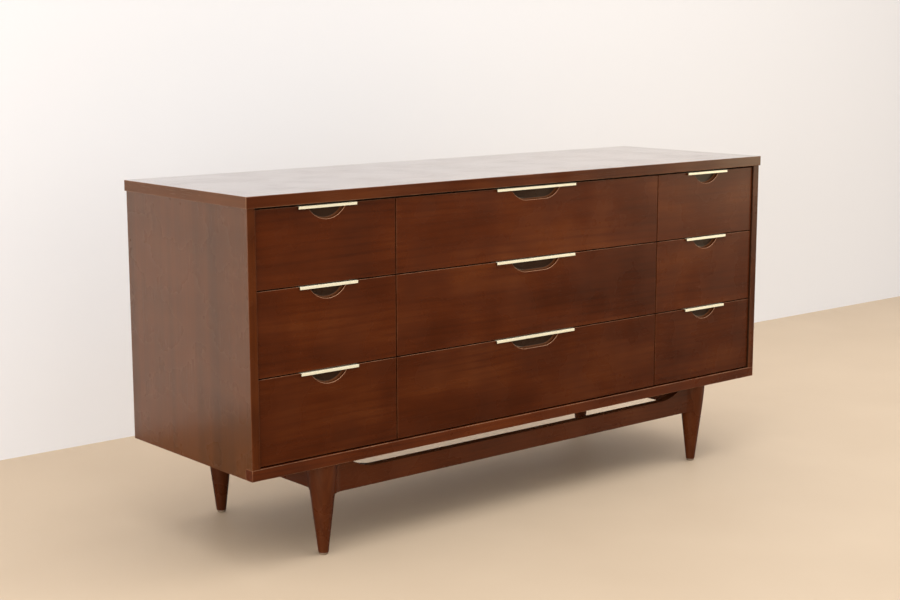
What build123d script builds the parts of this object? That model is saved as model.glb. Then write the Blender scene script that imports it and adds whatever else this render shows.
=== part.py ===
from build123d import *
import os

# Nine-drawer dresser, in millimetres. The origin is on the floor under the middle of the top,
# +X is to the right of someone facing the drawers, +Y is to the back and +Z is up.

# Overall size, which is the size of the top slab and its height
WIDTH = 1575.0
DEPTH = 483.0
HEIGHT = 781.0
TOP_THICKNESS = 24.0
TOP_OVERHANG = 3.0

# Case
CASE_BOTTOM = 202.0
SIDE_THICKNESS = 19.5
BOTTOM_THICKNESS = 24.0
BOTTOM_RAIL_DEPTH = 25.0
PARTITION_X = 408.0
PARTITION_THICKNESS = 19.0
BACK_THICKNESS = 5.0
REBATE_WIDTH = 10.0
REBATE_DEPTH = 6.0
ARRIS = 1.0

# Drawer fronts: their face is set back from the front edges of the case
FRONT_INSET = 5.0
FRONT_THICKNESS = 20.0
FRONT_GAP = 3.0
ROW_GAP = 2.6
SIDE_GAP = 1.5
ROW_HEIGHTS = {"bottom": 180.0, "middle": 176.5, "top": 161.8}
COLUMNS = {"left": -1, "centre": 0, "right": 1}
FRONT_ARRIS = 0.7

# Web frames, which carry the drawers and stop them when they close
WEB_THICKNESS = 20.0
WEB_DEPTH = 60.0
RUNNER_WIDTH = 40.0
STOP_GAP = 0.5
GUIDE_WIDTH = 22.0
GUIDE_RISE = 6.0
GUIDE_DROP = 10.0

# Drawer boxes
BOX_CLEARANCE = 1.75
RUNNING_GAP = 0.25
BOX_LIFT = (WEB_THICKNESS - ROW_GAP) / 2
HEADROOM = 5.0
BOX_REAR = 215.0
BOX_THICKNESS = 12.0
BOX_ROUNDING = 2.0
HOUSING = 5.0
BACK_SETBACK = 12.0
BACK_DROP = 6.0
BOTTOM_LIFT = 10.0
PLY = 5.0
PLY_TONGUE = 6.0
DOVETAIL_NECK = 6.0
DOVETAIL_END = 9.0
DOVETAIL_LENGTH = 8.0
CHANNEL_WIDTH = 44.0
CHANNEL_PLAY = 0.5
CHANNEL_FOOT = 1.0

# Brass pulls, an angle section with its flange let into the top edge of the front
PULL_LENGTHS = {"left": 147.0, "centre": 245.0, "right": 147.0}
PULL_HEIGHT = 5.8
PULL_PROUD = 5.0
LIP_THICKNESS = 3.0
FLANGE_THICKNESS = 2.0
FLANGE_REACH = 14.0
PULL_EDGE = 0.5
PULL_SCREW_INSETS = {"left": 9.0, "centre": 20.0, "right": 9.0}
PULL_SCREW_BACK = 7.5
PULL_SCREW_HEAD = 5.6
PULL_SCREW_SHANK = 2.8
PULL_SCREW_LENGTH = 16.0
PULL_SCREW_SLOT = 0.8

# Finger scoops: an arc whose centre is above the front, with a straight run on the wide drawers
SCOOP_RADIUS = 55.0
SCOOP_CENTRE_RISE = 25.0
SCOOP_STRAIGHTS = {"left": 0.0, "centre": 57.0, "right": 0.0}
SCOOP_DEPTH = 10.0
SCOOP_COVE = 4.5
SCOOP_RIM = 0.8

# Base
LEG_X = 586.0
LEG_Y = 202.0
LEG_FOOT_RADIUS = 11.0
LEG_RAIL_RADIUS = 26.6
LEG_TOP_RADIUS = 32.5
BASE_RAIL_BOTTOM = 135.0
SIDE_RAIL_BOTTOM = 141.0
BASE_RAIL_THICKNESS = 22.0
FRONT_RAIL_PROUD = 16.0
FLARE_RADIUS = 30.0
FLARE_LEG_RADIUS = 29.5
RELIEF_DROP = 25.0
RELIEF_HALF_FLAT = 450.0
RELIEF_RADIUS = 130.0
TENON_THICKNESS = 10.0
TENON_SHOULDER = 10.0
TENON_LENGTH = 13.0
GLIDE_RADIUS = 9.6
GLIDE_HEIGHT = 5.0
GLIDE_ROUNDING = 2.2
GLIDE_PIN_RADIUS = 1.6
GLIDE_PIN_LENGTH = 16.0
BLOCK_LEG = 55.0
BLOCK_THICKNESS = 20.0

# Screws: long ones for the top and the base, short ones for the back panel
LONG_SCREW = {"head_radius": 4.5, "head_height": 3.0, "shank_radius": 2.25, "length": 38.0}
SHORT_SCREW = {"head_radius": 3.5, "head_height": 1.8, "shank_radius": 1.5, "length": 16.0}
BLOCK_SCREW_OFFSET = 21.0
TOP_SCREW_X = [-690.0, -500.0, -200.0, 200.0, 500.0, 690.0]
BACK_SCREW_X = [-690.0, -500.0, -200.0, 200.0, 500.0, 690.0]
BACK_SCREW_Z = [266.0, 374.0, 494.0, 624.0, 716.0]

# Worked out from the sizes above
TOP_UNDERSIDE = HEIGHT - TOP_THICKNESS
CASE_X = WIDTH / 2 - TOP_OVERHANG
CASE_Y = DEPTH / 2 - TOP_OVERHANG
INNER_X = CASE_X - SIDE_THICKNESS
BOTTOM_TOP = CASE_BOTTOM + BOTTOM_THICKNESS
PANEL_BACK_Y = CASE_Y - REBATE_DEPTH
FACE_Y = -CASE_Y + FRONT_INSET
FRONT_BACK_Y = FACE_Y + FRONT_THICKNESS
WEB_FRONT_Y = FRONT_BACK_Y + STOP_GAP
WEB_INNER_FRONT_Y = WEB_FRONT_Y + WEB_DEPTH
WEB_INNER_BACK_Y = PANEL_BACK_Y - WEB_DEPTH
PARTITION_IN = PARTITION_X - PARTITION_THICKNESS / 2
PARTITION_OUT = PARTITION_X + PARTITION_THICKNESS / 2


def row_spans():
    """Lowest and highest point of the fronts in each row, from the bottom up."""
    spans = {}
    low = BOTTOM_TOP + FRONT_GAP
    for row, height in ROW_HEIGHTS.items():
        spans[row] = (low, low + height)
        low += height + ROW_GAP
    return spans


ROWS = row_spans()
WEB_MIDDLES = [ROWS[row][0] - ROW_GAP / 2 for row in ("middle", "top")]


def block(x_span, y_span, z_span):
    """A box between the two ends of each span."""
    spans = (x_span, y_span, z_span)
    lows = [min(span) for span in spans]
    sizes = [abs(span[1] - span[0]) for span in spans]
    return Pos(*lows) * Box(*sizes, align=(Align.MIN, Align.MIN, Align.MIN))


def around(middle, width):
    return (middle - width / 2, middle + width / 2)


def mirrored(solid):
    return solid.mirror(Plane.YZ)


def write(node, *solids):
    """One STEP file for a node, with each of its pieces as a separate solid."""
    pieces = [piece for solid in solids for piece in solid.solids()]
    shape = pieces[0] if len(pieces) == 1 else Compound(children=pieces)
    shape.label = node
    export_step(shape, f"parts/{node}.step")


def cavity(column):
    """The clear width between the uprights on each side of a column."""
    if column == "centre":
        return (-PARTITION_IN, PARTITION_IN)
    side = COLUMNS[column]
    return tuple(sorted((side * PARTITION_OUT, side * INNER_X)))


def front_span(column):
    """The width of a drawer front, which laps over the edge of each partition."""
    inner = PARTITION_X - SIDE_GAP
    if column == "centre":
        return (-inner, inner)
    side = COLUMNS[column]
    return tuple(sorted((side * (PARTITION_X + SIDE_GAP), side * (INNER_X - SIDE_GAP))))


# ---------------------------------------------------------------- fasteners


def screw(kind):
    """A pan-head screw that points up, with the underside of its head at the origin."""
    shank = Cylinder(kind["shank_radius"], kind["length"], align=(Align.CENTER, Align.CENTER, Align.MIN))
    head = Cylinder(kind["head_radius"], kind["head_height"], align=(Align.CENTER, Align.CENTER, Align.MAX))
    head = fillet(head.faces().sort_by(Axis.Z)[0].edges(), kind["head_height"] / 3)
    return shank + head


def block_screw_places():
    """Each corner block's screw, on the diagonal of the corner between its two rails."""
    x = LEG_X - BASE_RAIL_THICKNESS / 2 - BLOCK_SCREW_OFFSET
    front_y = -LEG_Y - FRONT_RAIL_PROUD + BASE_RAIL_THICKNESS + BLOCK_SCREW_OFFSET
    rear_y = LEG_Y - BASE_RAIL_THICKNESS / 2 - BLOCK_SCREW_OFFSET
    return [(side * x, y) for side in (-1, 1) for y in (front_y, rear_y)]


def long_screws():
    """Screws up through the corner blocks and up through the top rails."""
    block_z = CASE_BOTTOM - BLOCK_THICKNESS
    rail_z = TOP_UNDERSIDE - WEB_THICKNESS
    rail_ys = ((WEB_FRONT_Y + WEB_INNER_FRONT_Y) / 2, (WEB_INNER_BACK_Y + PANEL_BACK_Y) / 2)
    places = [(x, y, block_z) for x, y in block_screw_places()]
    places += [(x, y, rail_z) for x in TOP_SCREW_X for y in rail_ys]
    return [Pos(*place) * screw(LONG_SCREW) for place in places]


def short_screws():
    """Screws through the back panel into the sides, partitions, bottom and top rear rails."""
    back_face = PANEL_BACK_Y + BACK_THICKNESS
    shoulder_x = INNER_X + REBATE_WIDTH / 2
    uprights = (-shoulder_x, -PARTITION_X, PARTITION_X, shoulder_x)
    levels = (CASE_BOTTOM + BOTTOM_THICKNESS / 2, TOP_UNDERSIDE - WEB_THICKNESS / 2)
    places = [(x, z) for x in uprights for z in BACK_SCREW_Z]
    places += [(x, z) for x in BACK_SCREW_X for z in levels]
    return [Pos(x, back_face, z) * Rot(90, 0, 0) * screw(SHORT_SCREW) for x, z in places]


LONG_SCREWS = Compound(children=long_screws())
SHORT_SCREWS = Compound(children=short_screws())


def drilled(solid, screws):
    """The solid with a hole for each screw that enters it."""
    low, high = solid.bounding_box().min, solid.bounding_box().max
    for one in screws.solids():
        box = one.bounding_box()
        apart = box.min.X > high.X or box.max.X < low.X or box.min.Y > high.Y
        apart = apart or box.max.Y < low.Y or box.min.Z > high.Z or box.max.Z < low.Z
        if not apart:
            solid = solid - one
    return solid


# ---------------------------------------------------------------- case


def top_panel():
    slab = block(around(0, WIDTH), around(0, DEPTH), (TOP_UNDERSIDE, HEIGHT))
    slab = fillet(slab.edges(), ARRIS)
    return drilled(slab, LONG_SCREWS)


def bottom_front_rail():
    rail = block((-CASE_X, CASE_X), (-CASE_Y, -CASE_Y + BOTTOM_RAIL_DEPTH), (CASE_BOTTOM, BOTTOM_TOP))
    front = rail.faces().sort_by(Axis.Y)[0].edges()
    return fillet(front, ARRIS)


def side_panel():
    """The right-hand side, notched for the bottom front rail and rebated for the back panel."""
    panel = block((INNER_X, CASE_X), (-CASE_Y, CASE_Y), (CASE_BOTTOM, TOP_UNDERSIDE))
    corners = panel.edges().filter_by(Axis.Z)
    panel = fillet(corners, ARRIS)
    notch_y = (-CASE_Y - 1, -CASE_Y + BOTTOM_RAIL_DEPTH)
    panel -= block((INNER_X - 1, CASE_X + 1), notch_y, (CASE_BOTTOM - 1, BOTTOM_TOP))
    rebate_x = (INNER_X - 1, INNER_X + REBATE_WIDTH)
    panel -= block(rebate_x, (PANEL_BACK_Y, CASE_Y + 1), (CASE_BOTTOM - 1, TOP_UNDERSIDE + 1))
    return panel


def bottom_panel():
    y_span = (-CASE_Y + BOTTOM_RAIL_DEPTH, PANEL_BACK_Y)
    panel = block((-INNER_X, INNER_X), y_span, (CASE_BOTTOM, BOTTOM_TOP))
    return drilled(drilled(panel, LONG_SCREWS), SHORT_SCREWS)


def partition(side):
    x_span = (side * PARTITION_IN, side * PARTITION_OUT)
    panel = block(x_span, (WEB_FRONT_Y, PANEL_BACK_Y), (BOTTOM_TOP, TOP_UNDERSIDE))
    return drilled(panel, SHORT_SCREWS)


def back_panel():
    edge = INNER_X + REBATE_WIDTH
    y_span = (PANEL_BACK_Y, PANEL_BACK_Y + BACK_THICKNESS)
    return drilled(block((-edge, edge), y_span, (CASE_BOTTOM, TOP_UNDERSIDE)), SHORT_SCREWS)


def web_levels():
    """Height span of each web frame above the bottom panel: two between rows, one under the top."""
    levels = [around(middle, WEB_THICKNESS) for middle in WEB_MIDDLES]
    return levels + [(TOP_UNDERSIDE - WEB_THICKNESS, TOP_UNDERSIDE)]


def web_rails(y_span):
    """The cross rails of every web frame at the front or at the rear of the case."""
    rails = [block(cavity(column), y_span, level) for column in COLUMNS for level in web_levels()]
    return [drilled(drilled(rail, LONG_SCREWS), SHORT_SCREWS) for rail in rails]


def bottom_strip_span():
    """Height span of the strips on the bottom panel that the lowest drawers run on."""
    return (BOTTOM_TOP, ROWS["bottom"][0] + BOX_LIFT)


def drawer_runners():
    """Runners along both edges of each column, in the web frames and on the bottom panel."""
    runners = []
    for column in COLUMNS:
        low, high = cavity(column)
        for x_span in ((low, low + RUNNER_WIDTH), (high - RUNNER_WIDTH, high)):
            for level in web_levels():
                runners.append(block(x_span, (WEB_INNER_FRONT_Y, WEB_INNER_BACK_Y), level))
            runners.append(block(x_span, (WEB_FRONT_Y, PANEL_BACK_Y), bottom_strip_span()))
    return runners


def centre_guides():
    """A guide under the middle of each drawer, lapped over the rails or laid on the bottom panel."""
    guides = []
    for column in COLUMNS:
        x_span = around(sum(cavity(column)) / 2, GUIDE_WIDTH)
        low, high = bottom_strip_span()
        guides.append(block(x_span, (WEB_FRONT_Y, PANEL_BACK_Y), (low, high + GUIDE_RISE)))
        for middle in WEB_MIDDLES:
            top = middle + WEB_THICKNESS / 2
            guide = block(x_span, (WEB_FRONT_Y, PANEL_BACK_Y), (top, top + GUIDE_RISE))
            guide += block(x_span, (WEB_INNER_FRONT_Y, WEB_INNER_BACK_Y), (top - GUIDE_DROP, top + 1))
            guides.append(guide)
    return guides


def make_case():
    right_side = drilled(side_panel(), SHORT_SCREWS)
    write("top_panel", top_panel())
    write("side_panel_right", right_side)
    write("side_panel_left", mirrored(right_side))
    write("bottom_panel", bottom_panel())
    write("bottom_front_rail", bottom_front_rail())
    write("partition_left", partition(-1))
    write("partition_right", partition(1))
    write("back_panel", back_panel())
    write("front_web_rails", *web_rails((WEB_FRONT_Y, WEB_INNER_FRONT_Y)))
    write("rear_web_rails", *web_rails((WEB_INNER_BACK_Y, PANEL_BACK_Y)))
    write("drawer_runners", *drawer_runners())
    write("centre_guides", *centre_guides())
    write("assembly_screws", *LONG_SCREWS.solids())
    write("back_panel_screws", *SHORT_SCREWS.solids())


# ---------------------------------------------------------------- base


def turned_leg():
    """A leg about its own axis: a straight taper up to the rails, easing to the top."""
    foot = (LEG_FOOT_RADIUS, GLIDE_HEIGHT)
    shoulder = (LEG_RAIL_RADIUS, BASE_RAIL_BOTTOM)
    top = (LEG_TOP_RADIUS, CASE_BOTTOM)
    taper = Line(foot, shoulder)
    ease = TangentArc(shoulder, top, tangent=taper % 1)
    outline = taper + ease + Polyline(top, (0, CASE_BOTTOM), (0, GLIDE_HEIGHT), foot)
    leg = revolve(Plane.XZ * make_face(outline), Axis.Z)
    return fillet(leg.faces().sort_by(Axis.Z)[0].edges(), ARRIS)


def foot_glide():
    """A glide with a rounded lower rim and a pin that goes up into the leg."""
    disc = Cylinder(GLIDE_RADIUS, GLIDE_HEIGHT, align=(Align.CENTER, Align.CENTER, Align.MIN))
    disc = fillet(disc.faces().sort_by(Axis.Z)[0].edges(), GLIDE_ROUNDING)
    pin = Cylinder(GLIDE_PIN_RADIUS, GLIDE_PIN_LENGTH, align=(Align.CENTER, Align.CENTER, Align.MIN))
    return disc + Pos(0, 0, GLIDE_HEIGHT) * pin


def front_rail_y():
    return (-LEG_Y - FRONT_RAIL_PROUD, -LEG_Y - FRONT_RAIL_PROUD + BASE_RAIL_THICKNESS)


def base_front_rail_blank():
    """The front rail, whose top edge drops in a long relief with an arc at each end."""
    low, high = BASE_RAIL_BOTTOM, CASE_BOTTOM
    floor = high - RELIEF_DROP
    run = (2 * RELIEF_DROP * RELIEF_RADIUS - RELIEF_DROP**2) ** 0.5
    flat, tip = RELIEF_HALF_FLAT, RELIEF_HALF_FLAT + run
    right = Polyline((-flat, floor), (flat, floor))
    right_arc = TangentArc((flat, floor), (tip, high), tangent=(1, 0))
    ends = Polyline((tip, high), (LEG_X, high), (LEG_X, low), (-LEG_X, low), (-LEG_X, high), (-tip, high))
    left_arc = TangentArc((-flat, floor), (-tip, high), tangent=(-1, 0))
    face = make_face(right + right_arc + ends + left_arc)
    y_front, y_back = front_rail_y()
    return Pos(0, y_back, 0) * extrude(Plane.XZ * face, y_back - y_front)


def tenon_z(rail_bottom):
    return (rail_bottom + TENON_SHOULDER, CASE_BOTTOM - TENON_SHOULDER)


def flare(face_out, u_axis, v_axis, z_span):
    """Fills the angle between a rail's outer face and a leg at the origin with a hollow curve.

    u points from the leg along the rail and v out of the rail's face, which lies face_out from the axis.
    """
    centre_v = face_out + FLARE_RADIUS
    centre_u = ((FLARE_LEG_RADIUS + FLARE_RADIUS) ** 2 - centre_v**2) ** 0.5
    centre = u_axis * centre_u + v_axis * centre_v
    start = centre - v_axis * FLARE_RADIUS
    end = centre - centre.normalized() * FLARE_RADIUS
    half_way = centre - (v_axis + centre.normalized()).normalized() * FLARE_RADIUS
    inside = v_axis * (face_out - 2)
    root = inside + u_axis * centre_u
    outline = ThreePointArc(start, half_way, end) + Polyline(end, inside, root, start)
    return Pos(0, 0, z_span[0]) * extrude(make_face(outline), z_span[1] - z_span[0], dir=(0, 0, 1))


def rail_flares(side, end):
    """The flares of the cross rail and of the side rail at one leg."""
    along = Vector(-side, 0, 0)
    across = Vector(0, -end, 0)
    cross_face = FRONT_RAIL_PROUD if end < 0 else BASE_RAIL_THICKNESS / 2
    cross = flare(cross_face, along, across * -1, (BASE_RAIL_BOTTOM, CASE_BOTTOM))
    side_rail = flare(BASE_RAIL_THICKNESS / 2, across, along * -1, (SIDE_RAIL_BOTTOM, CASE_BOTTOM))
    place = Pos(side * LEG_X, end * LEG_Y, 0)
    return place * cross, place * side_rail


def cross_rail_tenon(side, y_middle):
    """The tenon at one end of the front or rear rail."""
    end = side * (LEG_X - LEG_RAIL_RADIUS + TENON_LENGTH)
    root = side * (LEG_X - LEG_TOP_RADIUS - TENON_SHOULDER)
    return block((root, end), around(y_middle, TENON_THICKNESS), tenon_z(BASE_RAIL_BOTTOM))


def side_rail_tenon(x_middle, end):
    """The tenon at the front or rear end of a side rail."""
    tip = end * (LEG_Y - LEG_RAIL_RADIUS + TENON_LENGTH)
    root = end * (LEG_Y - LEG_TOP_RADIUS - TENON_SHOULDER)
    return block(around(x_middle, TENON_THICKNESS), (root, tip), tenon_z(SIDE_RAIL_BOTTOM))


def corner_block(side, end):
    """A triangular block in the corner between two rails, cut round the leg and drilled."""
    x_corner = side * (LEG_X - BASE_RAIL_THICKNESS / 2)
    y_corner = front_rail_y()[1] if end < 0 else LEG_Y - BASE_RAIL_THICKNESS / 2
    corners = [
        (x_corner, y_corner),
        (x_corner - side * BLOCK_LEG, y_corner),
        (x_corner, y_corner - end * BLOCK_LEG),
    ]
    face = make_face(Polyline(*corners, close=True))
    solid = Pos(0, 0, CASE_BOTTOM - BLOCK_THICKNESS) * extrude(face, BLOCK_THICKNESS, dir=(0, 0, 1))
    solid -= Pos(side * LEG_X, end * LEG_Y, 0) * turned_leg()
    return drilled(solid, LONG_SCREWS)


def make_base():
    corners = [(side, end) for side in (-1, 1) for end in (-1, 1)]
    legs = {(side, end): Pos(side * LEG_X, end * LEG_Y, 0) * turned_leg() for side, end in corners}
    middles = {-1: sum(front_rail_y()) / 2, 1: LEG_Y}
    rear_blank = block((-LEG_X, LEG_X), around(LEG_Y, BASE_RAIL_THICKNESS), (BASE_RAIL_BOTTOM, CASE_BOTTOM))
    cross_rails = {-1: base_front_rail_blank(), 1: rear_blank}
    side_z = (SIDE_RAIL_BOTTOM, CASE_BOTTOM)
    side_rails = {s: block(around(s * LEG_X, BASE_RAIL_THICKNESS), (-LEG_Y, LEG_Y), side_z) for s in (-1, 1)}
    finished_legs = {}
    for (side, end), leg in legs.items():
        cross = cross_rail_tenon(side, middles[end])
        along = side_rail_tenon(side * LEG_X, end)
        cross_flare, side_flare = rail_flares(side, end)
        cross_rails[end] = cross_rails[end] + cross_flare - leg + cross
        side_rails[side] = side_rails[side] + side_flare - leg + along
        finished_legs[side, end] = leg - cross - along - Pos(side * LEG_X, end * LEG_Y, 0) * foot_glide()
    for (side, end), leg in finished_legs.items():
        write(f"leg_{'front' if end < 0 else 'rear'}_{'left' if side < 0 else 'right'}", leg)
    write("base_front_rail", cross_rails[-1])
    write("base_rear_rail", cross_rails[1])
    write("base_side_rail_left", side_rails[-1])
    write("base_side_rail_right", side_rails[1])
    write("foot_glides", *[Pos(side * LEG_X, end * LEG_Y, 0) * foot_glide() for side, end in legs])
    write("corner_blocks", *[corner_block(side, end) for side, end in legs])


# ---------------------------------------------------------------- drawers


def pull_bar(middle, top, length):
    """The angle section of a pull, as long as given, without its screws."""
    y_front = FACE_Y - PULL_PROUD
    x_span = around(middle, length)
    bar = block(x_span, (y_front, FACE_Y + FLANGE_REACH), (top - PULL_HEIGHT, top))
    bar -= block(
        around(middle, length + 2),
        (y_front + LIP_THICKNESS, FACE_Y + FLANGE_REACH + 1),
        (top - PULL_HEIGHT - 1, top - FLANGE_THICKNESS),
    )
    return fillet(bar.faces().sort_by(Axis.Y)[0].edges(), PULL_EDGE)


def pull_screw(x, top):
    """A slotted countersunk screw, flush with the top of the flange."""
    sink = (PULL_SCREW_HEAD - PULL_SCREW_SHANK) / 2
    place = Pos(x, FACE_Y + PULL_SCREW_BACK, top)
    head = Cone(
        PULL_SCREW_SHANK / 2, PULL_SCREW_HEAD / 2, sink, align=(Align.CENTER, Align.CENTER, Align.MAX)
    )
    shank = Cylinder(
        PULL_SCREW_SHANK / 2, PULL_SCREW_LENGTH, align=(Align.CENTER, Align.CENTER, Align.MAX)
    )
    return place * (head + shank)


def screw_slot(x, top):
    """The driver slot of a pull screw."""
    y_span = around(FACE_Y + PULL_SCREW_BACK, PULL_SCREW_SLOT)
    return block(around(x, PULL_SCREW_HEAD + 1), y_span, (top - PULL_SCREW_SLOT, top + 1))


def scoop(middle, top, straight):
    """The finger scoop to cut away: a flat sunk disc or slot with a coved edge and a bevelled rim."""
    outline = SlotCenterToCenter(straight, 2 * SCOOP_RADIUS) if straight else Circle(SCOOP_RADIUS)
    face = Plane(origin=(middle, FACE_Y, top + SCOOP_CENTRE_RISE), x_dir=(1, 0, 0), z_dir=(0, 1, 0))
    hollow = extrude(face * outline, SCOOP_DEPTH)
    hollow = fillet(hollow.faces().sort_by(Axis.Y)[-1].edges(), SCOOP_COVE)
    rim = extrude(face * offset(outline, SCOOP_RIM), SCOOP_RIM, taper=45)
    return hollow + rim


def dovetail(x, z_span):
    """The sliding dovetail that holds a drawer side in the back of its front."""
    neck, end = DOVETAIL_NECK / 2, DOVETAIL_END / 2
    tip = FRONT_BACK_Y - DOVETAIL_LENGTH
    corners = [(x - neck, FRONT_BACK_Y), (x + neck, FRONT_BACK_Y), (x + end, tip), (x - end, tip)]
    face = make_face(Polyline(*corners, close=True))
    return Pos(0, 0, z_span[0]) * extrude(face, z_span[1] - z_span[0], dir=(0, 0, 1))


class Drawer:
    """The places that one drawer's pieces share."""

    def __init__(self, row, column):
        self.column = column
        self.front_x = front_span(column)
        self.front_z = ROWS[row]
        self.middle = sum(self.front_x) / 2
        self.top = self.front_z[1]
        low, high = cavity(column)
        self.box_x = (low + BOX_CLEARANCE, high - BOX_CLEARANCE)
        self.inner_x = (self.box_x[0] + BOX_THICKNESS, self.box_x[1] - BOX_THICKNESS)
        self.foot = self.front_z[0] + BOX_LIFT + RUNNING_GAP
        ceiling = min(level[0] for level in web_levels() if level[0] > self.foot)
        self.box_z = (self.foot, ceiling - HEADROOM)
        self.ply_z = (self.foot + BOTTOM_LIFT, self.foot + BOTTOM_LIFT + PLY)
        self.back_y = (BOX_REAR - BACK_SETBACK - BOX_THICKNESS, BOX_REAR - BACK_SETBACK)
        self.tongue_xs = (self.box_x[0] + BOX_THICKNESS / 2, self.box_x[1] - BOX_THICKNESS / 2)
        half = PULL_LENGTHS[column] / 2 - PULL_SCREW_INSETS[column]
        self.screw_xs = (self.middle - half, self.middle + half)

    def bottom(self):
        """The thin bottom, wider than the box so that it sits in its grooves."""
        x0, x1 = self.inner_x
        sheet = block((x0 - HOUSING, x1 + HOUSING), (FRONT_BACK_Y, BOX_REAR), self.ply_z)
        return sheet + block((x0, x1), (FRONT_BACK_Y - PLY_TONGUE, FRONT_BACK_Y + 1), self.ply_z)

    def back(self):
        x0, x1 = self.inner_x
        z_span = (self.ply_z[1], self.box_z[1] - BACK_DROP)
        return block((x0 - HOUSING, x1 + HOUSING), self.back_y, z_span)

    def side(self, x_span, tongue_x):
        side = block(x_span, (FRONT_BACK_Y, BOX_REAR), self.box_z)
        upper = side.faces().sort_by(Axis.Z)[-1].edges().filter_by(Axis.Y)
        side = fillet(upper, BOX_ROUNDING)
        side += dovetail(tongue_x, (self.box_z[0], self.box_z[1] - BACK_DROP))
        return side - self.bottom() - self.back()

    def channel(self):
        """The grooved runner under the bottom, astride the centre guide."""
        x_middle = sum(self.box_x) / 2
        y_span = (FRONT_BACK_Y, BOX_REAR)
        runner = block(around(x_middle, CHANNEL_WIDTH), y_span, (self.foot + CHANNEL_FOOT, self.ply_z[0]))
        groove_top = self.foot - RUNNING_GAP + GUIDE_RISE + CHANNEL_PLAY
        groove_x = around(x_middle, GUIDE_WIDTH + 2 * CHANNEL_PLAY)
        return runner - block(groove_x, (y_span[0] - 1, y_span[1] + 1), (self.foot - 1, groove_top))

    def box(self):
        x0, x1 = self.box_x
        left = self.side((x0, x0 + BOX_THICKNESS), self.tongue_xs[0])
        right = self.side((x1 - BOX_THICKNESS, x1), self.tongue_xs[1])
        return [left, right, self.back(), self.channel()]

    def pull(self):
        """The brass bar and its two screws, each a solid of its own."""
        bar = pull_bar(self.middle, self.top, PULL_LENGTHS[self.column])
        screws = [pull_screw(x, self.top) for x in self.screw_xs]
        for one in screws:
            bar -= one
        return [bar] + [one - screw_slot(x, self.top) for one, x in zip(screws, self.screw_xs)]

    def front(self):
        """The solid front, with its scoop, the pull's rebate and the joints for the box."""
        board = block(self.front_x, (FACE_Y, FRONT_BACK_Y), self.front_z)
        board = fillet(board.faces().sort_by(Axis.Y)[0].edges(), FRONT_ARRIS)
        board -= scoop(self.middle, self.top, SCOOP_STRAIGHTS[self.column])
        flange_y = (FACE_Y - 1, FACE_Y + FLANGE_REACH)
        rebate_x = around(self.middle, PULL_LENGTHS[self.column])
        board -= block(rebate_x, flange_y, (self.top - FLANGE_THICKNESS, self.top + 1))
        for x in self.screw_xs:
            board -= pull_screw(x, self.top)
        for x in self.tongue_xs:
            board -= dovetail(x, (self.front_z[0] - 1, self.box_z[1] - BACK_DROP))
        return board - self.bottom()


def make_drawers():
    for row in ROW_HEIGHTS:
        for column in COLUMNS:
            drawer = Drawer(row, column)
            name = f"drawer_{row}_{column}"
            write(f"{name}_front", drawer.front())
            write(f"{name}_box", *drawer.box())
            write(f"{name}_bottom", drawer.bottom())
            write(f"{name}_pull", *drawer.pull())


os.makedirs("parts", exist_ok=True)
make_case()
make_base()
make_drawers()
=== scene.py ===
import math

import bpy
from mathutils import Euler, Matrix, Vector


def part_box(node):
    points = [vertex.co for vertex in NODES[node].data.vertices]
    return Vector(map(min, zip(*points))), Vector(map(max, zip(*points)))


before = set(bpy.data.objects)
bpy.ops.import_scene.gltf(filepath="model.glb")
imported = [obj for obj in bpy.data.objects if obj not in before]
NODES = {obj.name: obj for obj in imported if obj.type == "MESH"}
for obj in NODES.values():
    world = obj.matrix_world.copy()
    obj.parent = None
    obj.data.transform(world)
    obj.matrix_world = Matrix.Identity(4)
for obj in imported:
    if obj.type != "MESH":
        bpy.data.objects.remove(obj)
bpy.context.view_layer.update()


# ---------------------------------------------------------------- node trees


class Nodes:
    """A node tree, with short ways to add nodes and links."""

    def __init__(self, tree):
        self.tree = tree

    def node(self, kind, **settings):
        node = self.tree.nodes.new(kind)
        for key, value in settings.items():
            setattr(node, key, value)
        return node

    def put(self, socket, value):
        """Links an output to a socket, or sets the socket's own value."""
        if isinstance(value, bpy.types.NodeSocket):
            self.tree.links.new(value, socket)
        else:
            socket.default_value = value

    def fill(self, node, *values):
        """Puts the values into the node's first inputs, and gives its first output."""
        for socket, value in zip(node.inputs, values):
            self.put(socket, value)
        return node.outputs[0]

    def math(self, operation, *values):
        return self.fill(self.node("ShaderNodeMath", operation=operation), *values)

    def plus(self, total, *others):
        for other in others:
            total = self.math("ADD", total, other)
        return total

    def times(self, product, *others):
        for other in others:
            product = self.math("MULTIPLY", product, other)
        return product

    def minus(self, first, second):
        return self.math("SUBTRACT", first, second)

    def absolute(self, value):
        return self.math("ABSOLUTE", value)

    def vector(self, x, y, z):
        return self.fill(self.node("ShaderNodeCombineXYZ"), x, y, z)

    def split(self, vector):
        node = self.node("ShaderNodeSeparateXYZ")
        self.put(node.inputs[0], vector)
        return node.outputs

    def span(self, value, low, high, to_low=0.0, to_high=1.0, smooth=True):
        """The value carried from one span to another and held at its ends."""
        kind = "SMOOTHSTEP" if smooth else "LINEAR"
        node = self.node("ShaderNodeMapRange", interpolation_type=kind)
        return self.fill(node, value, low, high, to_low, to_high)

    def mix_shaders(self, factor, first, second):
        return self.fill(self.node("ShaderNodeMixShader"), factor, first, second)


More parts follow.
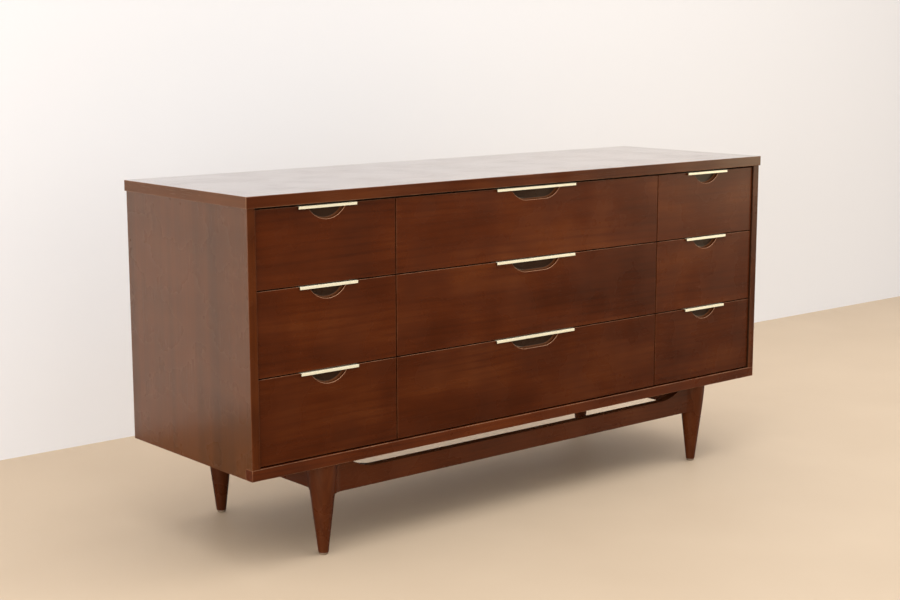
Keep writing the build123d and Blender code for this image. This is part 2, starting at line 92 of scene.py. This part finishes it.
class Shader(Nodes):
    """A material's node tree, built up to its Principled shader."""

    def __init__(self, name):
        self.material = bpy.data.materials.new(name)
        self.material.use_nodes = True
        super().__init__(self.material.node_tree)
        self.bsdf = self.tree.nodes["Principled BSDF"]

    def place(self):
        """The point's own coordinates, in metres from the piece's origin."""
        return self.node("ShaderNodeTexCoord").outputs["Object"]

    def facing(self):
        """The surface's own direction, one output an axis."""
        return self.split(self.node("ShaderNodeNewGeometry").outputs["True Normal"])

    def noise(self, vector, scale=1.0, detail=2.0, roughness=0.5):
        node = self.node("ShaderNodeTexNoise")
        self.put(node.inputs["Vector"], vector)
        node.inputs["Scale"].default_value = scale
        node.inputs["Detail"].default_value = detail
        node.inputs["Roughness"].default_value = roughness
        return node.outputs[0]

    def mix(self, factor, first, second):
        node = self.node("ShaderNodeMix", data_type="RGBA")
        self.put(node.inputs[0], factor)
        for socket, colour in zip(node.inputs[6:8], (first, second)):
            value = colour if isinstance(colour, bpy.types.NodeSocket) else (*colour, 1.0)
            self.put(socket, value)
        return node.outputs[2]

    def bump(self, height, distance, strength, normal=None):
        node = self.node("ShaderNodeBump")
        node.inputs["Strength"].default_value = strength
        node.inputs["Distance"].default_value = distance
        self.put(node.inputs["Height"], height)
        if normal is not None:
            self.put(node.inputs["Normal"], normal)
        return node.outputs[0]

    def finish(self, **sockets):
        for name, value in sockets.items():
            self.put(self.bsdf.inputs[name.replace("_", " ")], value)
        return self.material


# ---------------------------------------------------------------- camera, stage and light

CAMERA_PLACE = (-2.505, -2.887, 1.102)
CAMERA_AZIMUTH = 40.26
CAMERA_ELEVATION = -9.54
CAMERA_ROLL = -0.08
CAMERA_LENS = 64.2

STAGE_REACH = 16.0
WALL_Y = 0.96
WALL_HEIGHT = 3.2
FLOOR_TONES = ((0.515, 0.400, 0.285), (0.575, 0.455, 0.330))
FLOOR_REFLECTED = (0.07, 0.052, 0.038)
WALL_COLOUR = (0.80, 0.803, 0.828, 1.0)
WORLD_LIGHT = (1.0, 0.985, 0.97, 1.0)
WORLD_SEEN = (0.90, 0.87, 0.84, 1.0)


def make_camera():
    data = bpy.data.cameras.new("camera")
    data.lens = CAMERA_LENS
    camera = bpy.data.objects.new("camera", data)
    bpy.context.scene.collection.objects.link(camera)
    tilt = math.radians(90 + CAMERA_ELEVATION)
    turn = Euler((tilt, 0, -math.radians(CAMERA_AZIMUTH))).to_matrix().to_4x4()
    roll = Matrix.Rotation(math.radians(CAMERA_ROLL), 4, "Z")
    camera.matrix_world = Matrix.Translation(CAMERA_PLACE) @ turn @ roll
    bpy.context.scene.camera = camera


def stage_plane(name, corners, material):
    mesh = bpy.data.meshes.new(name)
    mesh.from_pydata(corners, [], [(0, 1, 2, 3)])
    plane = bpy.data.objects.new(name, mesh)
    bpy.context.scene.collection.objects.link(plane)
    mesh.materials.append(material)


def floor_material():
    """A plain pale floor, darker in reflections so that the fronts mirror it only faintly."""
    s = Shader("stage_floor")
    colour = s.mix(s.noise(s.place(), scale=3.0, detail=3.0), *FLOOR_TONES)
    glossy = s.node("ShaderNodeLightPath").outputs["Is Glossy Ray"]
    colour = s.mix(glossy, colour, FLOOR_REFLECTED)
    return s.finish(Base_Color=colour, Roughness=0.55, Specular_IOR_Level=0.25)


def wall_material():
    """A plain white backdrop, open from behind so that the back can be seen."""
    s = Shader("stage_wall")
    s.finish(Base_Color=WALL_COLOUR, Roughness=0.9, Specular_IOR_Level=0.1)
    behind = s.node("ShaderNodeNewGeometry").outputs["Backfacing"]
    clear = s.node("ShaderNodeBsdfTransparent").outputs[0]
    surface = s.mix_shaders(behind, s.bsdf.outputs[0], clear)
    s.put(s.tree.nodes["Material Output"].inputs["Surface"], surface)
    return s.material


def make_stage():
    reach = STAGE_REACH
    floor = [(-reach, -reach, 0), (reach, -reach, 0), (reach, reach, 0), (-reach, reach, 0)]
    stage_plane("stage_floor", floor, floor_material())
    foot = [(-reach, WALL_Y, 0), (reach, WALL_Y, 0)]
    head = [(x, y, WALL_HEIGHT) for x, y, _ in reversed(foot)]
    stage_plane("stage_wall", foot + head, wall_material())


def make_world():
    """Soft studio surroundings: brighter above, dimmer in front and behind, plain to the camera."""
    world = bpy.data.worlds.new("studio")
    bpy.context.scene.world = world
    world.use_nodes = True
    s = Nodes(world.node_tree)
    _, backward, upward = s.split(s.node("ShaderNodeTexCoord").outputs["Generated"])
    front = s.span(backward, -0.9, 0.1, 0.65, 1.05)
    above = s.span(upward, 0.1, 0.7, 0.0, 0.55)
    behind = s.span(backward, 0.1, 0.5, 1.0, 0.5, smooth=False)
    lit = s.node("ShaderNodeBackground")
    s.fill(lit, WORLD_LIGHT, s.times(s.plus(front, above), behind))
    plain = s.node("ShaderNodeBackground")
    s.fill(plain, WORLD_SEEN)
    seen = s.node("ShaderNodeLightPath").outputs["Is Camera Ray"]
    surface = s.mix_shaders(seen, lit.outputs[0], plain.outputs[0])
    s.put(s.tree.nodes["World Output"].inputs["Surface"], surface)


def area_light(name, place, target, size, power, colour, spread=180):
    data = bpy.data.lights.new(name, "AREA")
    data.shape = "RECTANGLE"
    data.size, data.size_y = size
    data.energy = power
    data.color = colour
    data.spread = math.radians(spread)
    light = bpy.data.objects.new(name, data)
    light.location = place
    aim = Vector(target) - Vector(place)
    light.rotation_euler = aim.to_track_quat("-Z", "Y").to_euler()
    bpy.context.scene.collection.objects.link(light)


def make_lights():
    """A low window on the left, a wide ceiling light, and a small warm light far to the right."""
    make_world()
    area_light("window", place=(-4.2, -1.9, 0.82), target=(0, 0, 0.2), size=(3.4, 1.5), power=81,
               colour=(1.0, 0.985, 0.955))
    area_light("ceiling", place=(0.3, -1.2, 3.4), target=(0, 0.1, 0.3), size=(4.4, 2.8), power=57,
               colour=(1.0, 0.985, 0.96))
    area_light("far_window", place=(4.8, -2.9, 0.9), target=(0.6, -0.2, 0.6), size=(1.7, 1.5), power=7.5,
               colour=(1.0, 0.90, 0.68), spread=80)
    bpy.context.scene.view_settings.view_transform = "Standard"


# ---------------------------------------------------------------- wood

# Each wood's dark, middle and light tones
FRONT_TONES = ((0.040, 0.0068, 0.0012), (0.076, 0.0140, 0.0024), (0.125, 0.0290, 0.0055))
CASE_TONES = ((0.061, 0.0220, 0.0072), (0.085, 0.0287, 0.0080), (0.115, 0.0370, 0.0104))
TOP_TONES = ((0.038, 0.0075, 0.0019), (0.069, 0.0145, 0.0034), (0.107, 0.0275, 0.0073))
BASE_TONES = ((0.036, 0.0070, 0.0016), (0.070, 0.0145, 0.0032), (0.110, 0.0280, 0.0070))
INNER_TONES = ((0.150, 0.075, 0.034), (0.240, 0.130, 0.064), (0.330, 0.195, 0.105))
OAK_TONES = ((0.260, 0.150, 0.070), (0.400, 0.255, 0.130), (0.520, 0.360, 0.205))
PLY_TONES = ((0.330, 0.205, 0.105), (0.450, 0.300, 0.165), (0.550, 0.395, 0.235))

# Tones laid over a wood in places, among them painted highlights, painted light and painted shade
# Paler arrises: partly real wear and partly a painted highlight along the edges
WORN_AND_LIT_EDGE_TONE = (0.26, 0.125, 0.065)
FRONT_WORN_AND_LIT_EDGE_TONE = (0.125, 0.042, 0.017)
STAIN_TONE = (0.030, 0.011, 0.005)
# The scoop's painted light: a lit tone on the cove, painted shade on its floor, a painted highlight on its
# rim
LIT_COVE_TONE = (0.120, 0.040, 0.014)
SHADED_SCOOP_FLOOR_TONES = ((0.024, 0.010, 0.005), (0.046, 0.021, 0.011))
RIM_HIGHLIGHT_TONE = (0.50, 0.27, 0.16)
REFLECTION_TINT = (1.0, 0.88, 0.66, 1.0)

# Waves a metre of each pattern in the wood, along and across the grain
DRIFT_WAVES = (0.9, 5.0)
RIPPLE_WAVES = (2.5, 25.0)
RING_PATCH_WAVES = (1.7, 9.0)
FIGURE_WAVES = (2.6, 12.0)
SIDE_FIGURE_WAVES = (0.3, 24.0)
CURL_WAVES = (8.0, 2.2)
STREAK_WAVES = (9.0, 260.0)
FIBRE_WAVES = (22.0, 800.0)
PORE_WAVES = (45.0, 1300.0)
PORE_PATCH_WAVES = (2.0, 40.0)
WEAR_AND_HIGHLIGHT_PATCH_WAVES = (30.0, 30.0)
SMEAR_WAVES = (9.0, 9.0)
PEEL_WAVES = 210.0

# How strongly each pattern shows
PITH_WANDER = 0.06
RING_RIPPLE = 0.25
FIGURE_SHARE = 0.7
FIGURE_SPREAD = 0.16
STREAK_WEIGHT = 0.55
FIBRE_WEIGHT = 0.14
PORE_SHADE = 0.35
PORE_ROUGHNESS = 0.25
FIBRE_RELIEF = 0.35
GRAIN_BUMP = 0.00004
PEEL_BUMP = 0.00008

# Distances in metres: how far the wear and painted highlight go from an arris, how far the stain
# goes in behind the partitions' front edges and fades out, and the seam where a box's grain turns
WEAR_AND_HIGHLIGHT_WIDTH = 0.0022
STAIN_REACH = 0.004
STAIN_FADE = 0.02
CROSSING_FADE = 0.0002

# Distances in metres: the front's ends and foot, where no scoop is, and the depths below the
# face where the rim's painted highlight is full, where the cove's painted light starts and
# where the rim's highlight ends
SCOOP_END_MARGIN = 0.010
SCOOP_END_FADE = 0.002
SCOOP_FOOT_MARGIN = 0.05
SCOOP_FOOT_FADE = 0.01
RIM_START = 0.0002
COVE_START = 0.0005
RIM_END = 0.0008

GRAIN_ORDER = {"X": ("X", "Y", "Z"), "Y": ("Y", "X", "Z"), "Z": ("Z", "X", "Y")}
PITH = (0.19, 0.31)
LEG_PITH = (0.07, 0.11)


def grain_space(s, place, grain, shift):
    """The place turned so that its first coordinate runs along the grain, and moved by the shift."""
    axes = dict(zip("XYZ", s.split(place)))
    return [s.plus(axes[axis], offset) for axis, offset in zip(GRAIN_ORDER[grain], shift)]


def turned(s, parts, mask):
    """The same space with the grain laid across where the mask is 1."""
    along, across, deep = parts
    pairs = ((along, across), (across, along))
    return [s.plus(own, s.times(mask, s.minus(other, own))) for own, other in pairs] + [deep]


def stretched(s, parts, waves, fine=1.0):
    """The space scaled to the waves along and across the grain, where fine above 1 is finer."""
    along, across = (count * fine for count in waves)
    return s.vector(s.times(parts[0], along), s.times(parts[1], across), s.times(parts[2], across))


def growth_rings(s, parts, spacing, pith):
    """Up to 1 in the late wood of each ring round a wandering pith, and 0 between the rings."""
    drift = s.noise(stretched(s, parts, DRIFT_WAVES), detail=2.0, roughness=0.45)
    wander = s.times(s.minus(drift, 0.5), PITH_WANDER)
    across = s.plus(parts[1], pith[0], wander)
    deep = s.plus(parts[2], pith[1], wander)
    radius = s.math("SQRT", s.plus(s.times(across, across), s.times(deep, deep)))
    ripple = s.times(s.noise(stretched(s, parts, RIPPLE_WAVES), detail=2.0), RING_RIPPLE)
    count = s.plus(s.math("DIVIDE", radius, spacing), ripple)
    late = s.span(s.math("SINE", s.times(count, math.tau)), 0.1, 1.0)
    patches = s.noise(stretched(s, parts, RING_PATCH_WAVES), detail=1.0)
    return s.times(late, s.span(patches, 0.35, 0.65, 0.35, 1.0))


def figure_shade(s, parts, cloud, waves):
    """The broad drifting figure, from 0 where it is dark to 1 where it is light."""
    figure = s.noise(stretched(s, parts, waves), detail=3.0, roughness=0.55)
    curl = s.noise(stretched(s, parts, CURL_WAVES), detail=2.0)
    figure = s.plus(s.times(figure, FIGURE_SHARE), s.times(curl, 1.0 - FIGURE_SHARE))
    spread = FIGURE_SPREAD / cloud
    return s.span(figure, 0.5 - spread, 0.5 + spread, smooth=False)


def open_pores(s, parts, fine, depth):
    """Short dashes along the grain, thick in some stretches and thin in others."""
    dashes = s.noise(stretched(s, parts, PORE_WAVES, fine), detail=1.0)
    patches = s.noise(stretched(s, parts, PORE_PATCH_WAVES), detail=1.0)
    return s.times(s.span(dashes, 0.60, 0.70), s.span(patches, 0.35, 0.7, 0.35, 1.0), depth)


def three_tones(s, tone, tones):
    dark, middle, light = tones
    colour = s.mix(s.span(tone, -0.25, 0.5, smooth=False), dark, middle)
    return s.mix(s.span(tone, 0.5, 1.25, smooth=False), colour, light)


def two_tones(s, tone, tones):
    dark, _, light = tones
    return s.mix(s.span(tone, -0.2, 1.2), dark, light)


def stained(s, place, colour, edge):
    """The colour under the dark stain that covers what lies in front of the edge."""
    return s.mix(s.span(s.split(place)[1], edge, edge + STAIN_FADE, 1.0, 0.0), colour, STAIN_TONE)


def scooped(s, place, colour, streak, node):
    """The colour with light painted into the finger scoop: painted shade on its floor, a painted lit tone
    on its cove and a painted highlight on its rim.
    """
    low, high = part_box(node)
    across, depth, height = s.split(place)
    sunk = s.minus(depth, low[1])
    aside = s.absolute(s.minus(across, (low[0] + high[0]) / 2))
    end = (high[0] - low[0]) / 2 - SCOOP_END_MARGIN
    foot = low[2] + SCOOP_FOOT_MARGIN
    away_from_ends = s.span(aside, end, end + SCOOP_END_FADE, 1.0, 0.0)
    clear = s.times(away_from_ends, s.span(height, foot, foot + SCOOP_FOOT_FADE))
    # The slope is 1 on a face that looks straight forwards, and 0 on one square to it
    slope = s.absolute(s.facing()[1])
    lit_cove = s.times(s.span(sunk, COVE_START, 2 * COVE_START), s.span(slope, 0.02, 0.10), clear)
    # floor marks the scoop's flat floor, where the painted shade goes
    floor = s.times(lit_cove, s.span(slope, 0.90, 0.99))
    shallow = s.times(s.span(sunk, 0.0, RIM_START), s.span(sunk, COVE_START, RIM_END, 1.0, 0.0))
    rim_highlight = s.times(shallow, clear, s.span(slope, 0.2, 0.5))
    # Painted light in the scoop: the cove lit, the floor in painted shade, the rim with a painted
    # highlight
    colour = s.mix(lit_cove, colour, LIT_COVE_TONE)
    colour = s.mix(floor, colour, s.mix(streak, *SHADED_SCOOP_FLOOR_TONES))
    return s.mix(rim_highlight, colour, RIM_HIGHLIGHT_TONE)


def edge_wear_and_highlight(s, place, node):
    """1 on a boxy piece's arrises and 0 away from them, from its box's corners: the wear and painted
    highlight.
    """
    low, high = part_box(node)
    near = []
    for axis, coordinate in enumerate(s.split(place)):
        middle, half = (low[axis] + high[axis]) / 2, (high[axis] - low[axis]) / 2
        depth = s.minus(half, s.absolute(s.minus(coordinate, middle)))
        near.append(s.span(depth, 0.0, WEAR_AND_HIGHLIGHT_WIDTH, 1.0, 0.0))
    return s.span(s.plus(*near), 1.15, 1.95)


def wood(name, grain, tones, shift=(0.0, 0.0, 0.0), rings=0.011, ring_depth=0.22, pith=PITH,
         cloud=1.0, cloud_waves=FIGURE_WAVES, pore=0.24, fine=1.0, banded=False, crossed=None,
         stain=None, faced=None, lined=None, carved=None, worn_and_lit=None,
         roughness=0.27, specular=0.5, lacquer=0.0, coat_ior=1.45, polished=None):
    """Wood as a solid: growth rings round a far pith, drifting figure, fibre streaks and pores.

    The timber: grain is the axis that the fibres follow, and shift picks another stretch of it.
    rings is the ring spacing, ring_depth how dark the rings are, and pith how far off the pith
    lies, across the grain each way. cloud is the figure's contrast and cloud_waves its size, pore
    is the pores' depth, and fine above 1 makes the streaks, fibres and pores finer. banded turns
    the grain on the end faces, and crossed turns it behind that Y.

    The colours on it, in the order laid: stain darkens what is in front of that Y. faced is an
    axis and the tones of the faces across it. lined is the outward X direction and the Y of the
    stain's edge, for a side panel whose inner face is plain. carved is the drawer front whose scoop
    gets painted shade, painted light and a painted highlight, and worn_and_lit is a node and the
    tone of its arrises, partly real wear and partly a painted highlight.

    The surface: specular and lacquer are how strongly the wood and its lacquer reflect, coat_ior
    is the lacquer's index, and polished the axis whose faces alone have the lacquer.
    """
    s = Shader(name)
    place = s.place()
    parts = grain_space(s, place, grain, shift)
    if banded:
        parts = turned(s, parts, s.span(s.absolute(s.facing()["XYZ".index(grain)]), 0.5, 0.9))
    if crossed:
        parts = turned(s, parts, s.span(s.split(place)[1], crossed - CROSSING_FADE, crossed))

    streak = s.noise(stretched(s, parts, STREAK_WAVES, fine), detail=4.0, roughness=0.6)
    fibre = s.noise(stretched(s, parts, FIBRE_WAVES, fine), detail=2.0, roughness=0.6)
    tone = figure_shade(s, parts, cloud, cloud_waves)
    tone = s.plus(tone, s.times(s.minus(streak, 0.5), STREAK_WEIGHT))
    tone = s.plus(tone, s.times(s.minus(fibre, 0.5), FIBRE_WEIGHT))
    tone = s.minus(tone, s.times(growth_rings(s, parts, rings, pith), ring_depth))
    pores = open_pores(s, parts, fine, pore)

    colour = three_tones(s, tone, tones)
    colour = s.mix(pores, colour, tuple(channel * PORE_SHADE for channel in tones[0]))
    if stain:
        colour = stained(s, place, colour, stain)
    if faced:
        axis, face_tones = faced
        facing = s.span(s.absolute(s.facing()[axis]), 0.4, 0.8)
        colour = s.mix(facing, colour, two_tones(s, tone, face_tones))
    if lined:
        outward, edge = lined
        bare = stained(s, place, two_tones(s, tone, INNER_TONES), edge)
        inward = s.span(s.times(s.facing()[0], -outward), 0.4, 0.8)
        colour = s.mix(inward, colour, bare)
    if carved:
        colour = scooped(s, place, colour, streak, carved)
    # The arrises are painted paler: partly real wear and partly a painted highlight
    if worn_and_lit:
        node, wear_and_highlight_tone = worn_and_lit
        patches = s.noise(stretched(s, parts, WEAR_AND_HIGHLIGHT_PATCH_WAVES), detail=3.0)
        wear_and_highlight = s.times(edge_wear_and_highlight(s, place, node), s.span(patches, 0.35, 0.65, 0.25, 0.85))
        colour = s.mix(wear_and_highlight, colour, wear_and_highlight_tone)

    smear = s.noise(stretched(s, parts, SMEAR_WAVES), detail=3.0)
    rough = s.span(smear, 0.3, 0.7, roughness - 0.04, roughness + 0.05)
    rough = s.plus(rough, s.times(pores, PORE_ROUGHNESS))
    normal = s.bump(s.minus(s.times(fibre, FIBRE_RELIEF), pores), GRAIN_BUMP, 0.4)
    normal = s.bump(s.noise(place, scale=PEEL_WAVES, detail=2.0), PEEL_BUMP, 0.10, normal)
    if polished is not None:
        lacquer = s.span(s.absolute(s.facing()[polished]), 0.6, 0.9, 0.0, lacquer)
    return s.finish(
        Base_Color=colour, Roughness=rough, Normal=normal,
        Specular_IOR_Level=specular, Specular_Tint=REFLECTION_TINT,
        Coat_Weight=lacquer, Coat_Roughness=0.16, Coat_IOR=coat_ior,
    )


# ---------------------------------------------------------------- metal, board and plastic

BRASS_TONES = ((0.93, 0.86, 0.62), (1.0, 0.95, 0.74))
BRASS_TARNISH = (0.72, 0.56, 0.30)
BRASS_PAINTED_END_SHADE = (0.10, 0.055, 0.022)
BRASS_WAVES = (18.0, 2600.0)
STEEL_TONES = ((0.42, 0.40, 0.36), (0.60, 0.58, 0.53))
GLIDE_TONES = ((0.16, 0.105, 0.065), (0.30, 0.22, 0.15))
BOARD_TONES = ((0.135, 0.068, 0.032), (0.205, 0.112, 0.058))
BOARD_LINE = (0.085, 0.040, 0.018)
BOARD_PALE_FLECK = (0.33, 0.20, 0.11)
BOARD_DARK_FLECK = (0.09, 0.042, 0.02)
BOARD_LINE_WAVES = (140.0, 0.8)


def brass_material():
    """Satin brass, drawn along its length, with a little tarnish and painted shade on its cut ends."""
    s = Shader("satin_brass")
    place = s.place()
    drawn = s.noise(stretched(s, s.split(place), BRASS_WAVES), detail=3.0, roughness=0.65)
    tarnish = s.span(s.noise(place, scale=45.0, detail=4.0, roughness=0.6), 0.45, 0.75)
    colour = s.mix(drawn, *BRASS_TONES)
    colour = s.mix(s.times(tarnish, 0.18), colour, BRASS_TARNISH)
    # The cut ends are painted dark: a painted shade
    colour = s.mix(s.span(s.absolute(s.facing()[0]), 0.6, 0.9), colour, BRASS_PAINTED_END_SHADE)
    rough = s.plus(s.span(drawn, 0.3, 0.7, 0.42, 0.50), s.times(tarnish, 0.10))
    normal = s.bump(drawn, 0.00006, 0.5)
    return s.finish(Base_Color=colour, Roughness=rough, Normal=normal, Metallic=0.45)


def steel_material():
    s = Shader("plated_steel")
    spots = s.noise(s.place(), scale=900.0, detail=3.0)
    colour = s.mix(spots, *STEEL_TONES)
    rough = s.span(spots, 0.3, 0.7, 0.32, 0.52)
    return s.finish(Base_Color=colour, Roughness=rough, Normal=s.bump(spots, 0.00005, 0.4), Metallic=1.0)


def glide_material():
    s = Shader("pale_glide")
    scuff = s.noise(s.place(), scale=420.0, detail=4.0, roughness=0.65)
    colour = s.mix(scuff, *GLIDE_TONES)
    rough = s.span(scuff, 0.3, 0.7, 0.42, 0.65)
    return s.finish(Base_Color=colour, Roughness=rough, Normal=s.bump(scuff, 0.0001, 0.4))


def board_material():
    """Pressed brown fibreboard with flecks and faint upright roller lines."""
    s = Shader("fibre_board")
    place = s.place()
    fleck = s.noise(place, scale=700.0, detail=4.0, roughness=0.7)
    cloud = s.noise(place, scale=4.0, detail=6.0, roughness=0.6)
    across, _, height = s.split(place)
    lines = s.vector(s.times(across, BOARD_LINE_WAVES[0]), 0.0, s.times(height, BOARD_LINE_WAVES[1]))
    roller = s.noise(lines, detail=3.0)
    colour = s.mix(s.span(cloud, 0.3, 0.7), *BOARD_TONES)
    colour = s.mix(s.span(roller, 0.4, 0.8, 0.0, 0.35), colour, BOARD_LINE)
    colour = s.mix(s.span(fleck, 0.55, 0.75), colour, BOARD_PALE_FLECK)
    colour = s.mix(s.span(fleck, 0.42, 0.28), colour, BOARD_DARK_FLECK)
    rough = s.span(cloud, 0.3, 0.7, 0.55, 0.68)
    return s.finish(Base_Color=colour, Roughness=rough, Normal=s.bump(fleck, 0.00012, 0.5))


# ---------------------------------------------------------------- what each piece is made of

BOX_BACK_THICKNESS = 0.014
LEG_SPACING = 0.4
# The fronts' tones, darker row by row towards the bottom
ROW_SHADES = {"top": 1.0, "middle": 0.93, "bottom": 0.84}
# The side panels' front edges take the fronts' tones darkened: painted shade against the reflection they
# catch
SIDE_EDGE_PAINTED_SHADE = 0.85
BOTTOM_RAIL_SHADE = 1.12


def paint(node, material):
    mesh = NODES[node].data
    mesh.materials.clear()
    mesh.materials.append(material)


def shift_for(index):
    """Another stretch of timber for each index."""
    return (0.37 * index % 1.9, 0.113 * index % 0.83, 0.171 * index % 0.67)


def shaded(tones, factor):
    return [tuple(channel * factor for channel in tone) for tone in tones]


def paint_case():
    paint("top_panel", wood(
        "walnut_top", "X", TOP_TONES, shift=(0.1, 0.3, 0.2), rings=0.013, cloud=0.9, fine=0.5, banded=True,
        faced=(0, CASE_TONES), worn_and_lit=("top_panel", WORN_AND_LIT_EDGE_TONE),
        roughness=0.22, specular=0.25, lacquer=1.0, coat_ior=1.7, polished=2,
    ))
    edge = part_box("partition_left")[0][1] + STAIN_REACH
    for index, (side, outward) in enumerate((("left", -1.0), ("right", 1.0))):
        name = f"side_panel_{side}"
        paint(name, wood(
            f"walnut_side_{side}", "Z", CASE_TONES, shift_for(index + 3), rings=0.012, ring_depth=0.10,
            cloud=1.5, cloud_waves=SIDE_FIGURE_WAVES, pore=0.12, fine=0.45,
            faced=(1, shaded(FRONT_TONES, SIDE_EDGE_PAINTED_SHADE)), lined=(outward, edge),
            worn_and_lit=(name, FRONT_WORN_AND_LIT_EDGE_TONE), specular=0.20, lacquer=0.42, coat_ior=1.5, polished=0,
        ))
    paint("bottom_front_rail", wood(
        "walnut_bottom_rail", "X", shaded(FRONT_TONES, BOTTOM_RAIL_SHADE), shift_for(7),
        worn_and_lit=("bottom_front_rail", WORN_AND_LIT_EDGE_TONE), roughness=0.28, specular=0.3,
    ))
    inner_pieces = {
        "X": ("bottom_panel", "front_web_rails", "rear_web_rails"),
        "Y": ("partition_left", "partition_right", "drawer_runners", "corner_blocks"),
    }
    for grain, names in inner_pieces.items():
        for index, name in enumerate(names):
            paint(name, wood(
                f"inner_{name}", grain, INNER_TONES, shift_for(index), stain=edge, roughness=0.55,
            ))
    paint("centre_guides", wood("oak_guides", "Y", OAK_TONES, roughness=0.5))
    paint("back_panel", board_material())


def paint_base():
    for index, name in enumerate(n for n in sorted(NODES) if n.startswith("leg_")):
        low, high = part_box(name)
        centre = [(a + b) / 2 for a, b in zip(low, high)]
        paint(name, wood(
            f"walnut_{name}", "Z", BASE_TONES, (LEG_SPACING * index, -centre[0], -centre[1]),
            rings=0.006, ring_depth=0.2, pith=LEG_PITH, specular=0.4,
        ))
    grains = {
        "base_front_rail": "X",
        "base_rear_rail": "X",
        "base_side_rail_left": "Y",
        "base_side_rail_right": "Y",
    }
    for index, (name, grain) in enumerate(grains.items()):
        paint(name, wood(
            f"walnut_{name}", grain, BASE_TONES, shift_for(index + 11), rings=0.009,
            roughness=0.28, specular=0.35,
        ))


def paint_drawers():
    brass = brass_material()
    back_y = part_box("drawer_top_left_bottom")[1][1] - BOX_BACK_THICKNESS
    oak = wood("oak_box", "Y", OAK_TONES, rings=0.008, crossed=back_y, roughness=0.42, lacquer=0.1)
    ply = wood("ply_bottom", "X", PLY_TONES, rings=0.022, roughness=0.45, lacquer=0.1)
    fronts = sorted(n for n in NODES if n.startswith("drawer_") and n.endswith("_front"))
    for index, name in enumerate(fronts):
        drawer = name.removesuffix("_front")
        tones = shaded(FRONT_TONES, ROW_SHADES[name.split("_")[1]])
        paint(name, wood(
            f"walnut_{name}", "X", tones, shift_for(index), rings=0.016, carved=name,
            worn_and_lit=(name, FRONT_WORN_AND_LIT_EDGE_TONE), specular=0.20,
        ))
        paint(f"{drawer}_box", oak)
        paint(f"{drawer}_bottom", ply)
        paint(f"{drawer}_pull", brass)


def paint_small_parts():
    steel = steel_material()
    paint("assembly_screws", steel)
    paint("back_panel_screws", steel)
    paint("foot_glides", glide_material())


make_camera()
make_stage()
make_lights()
paint_case()
paint_base()
paint_drawers()
paint_small_parts()
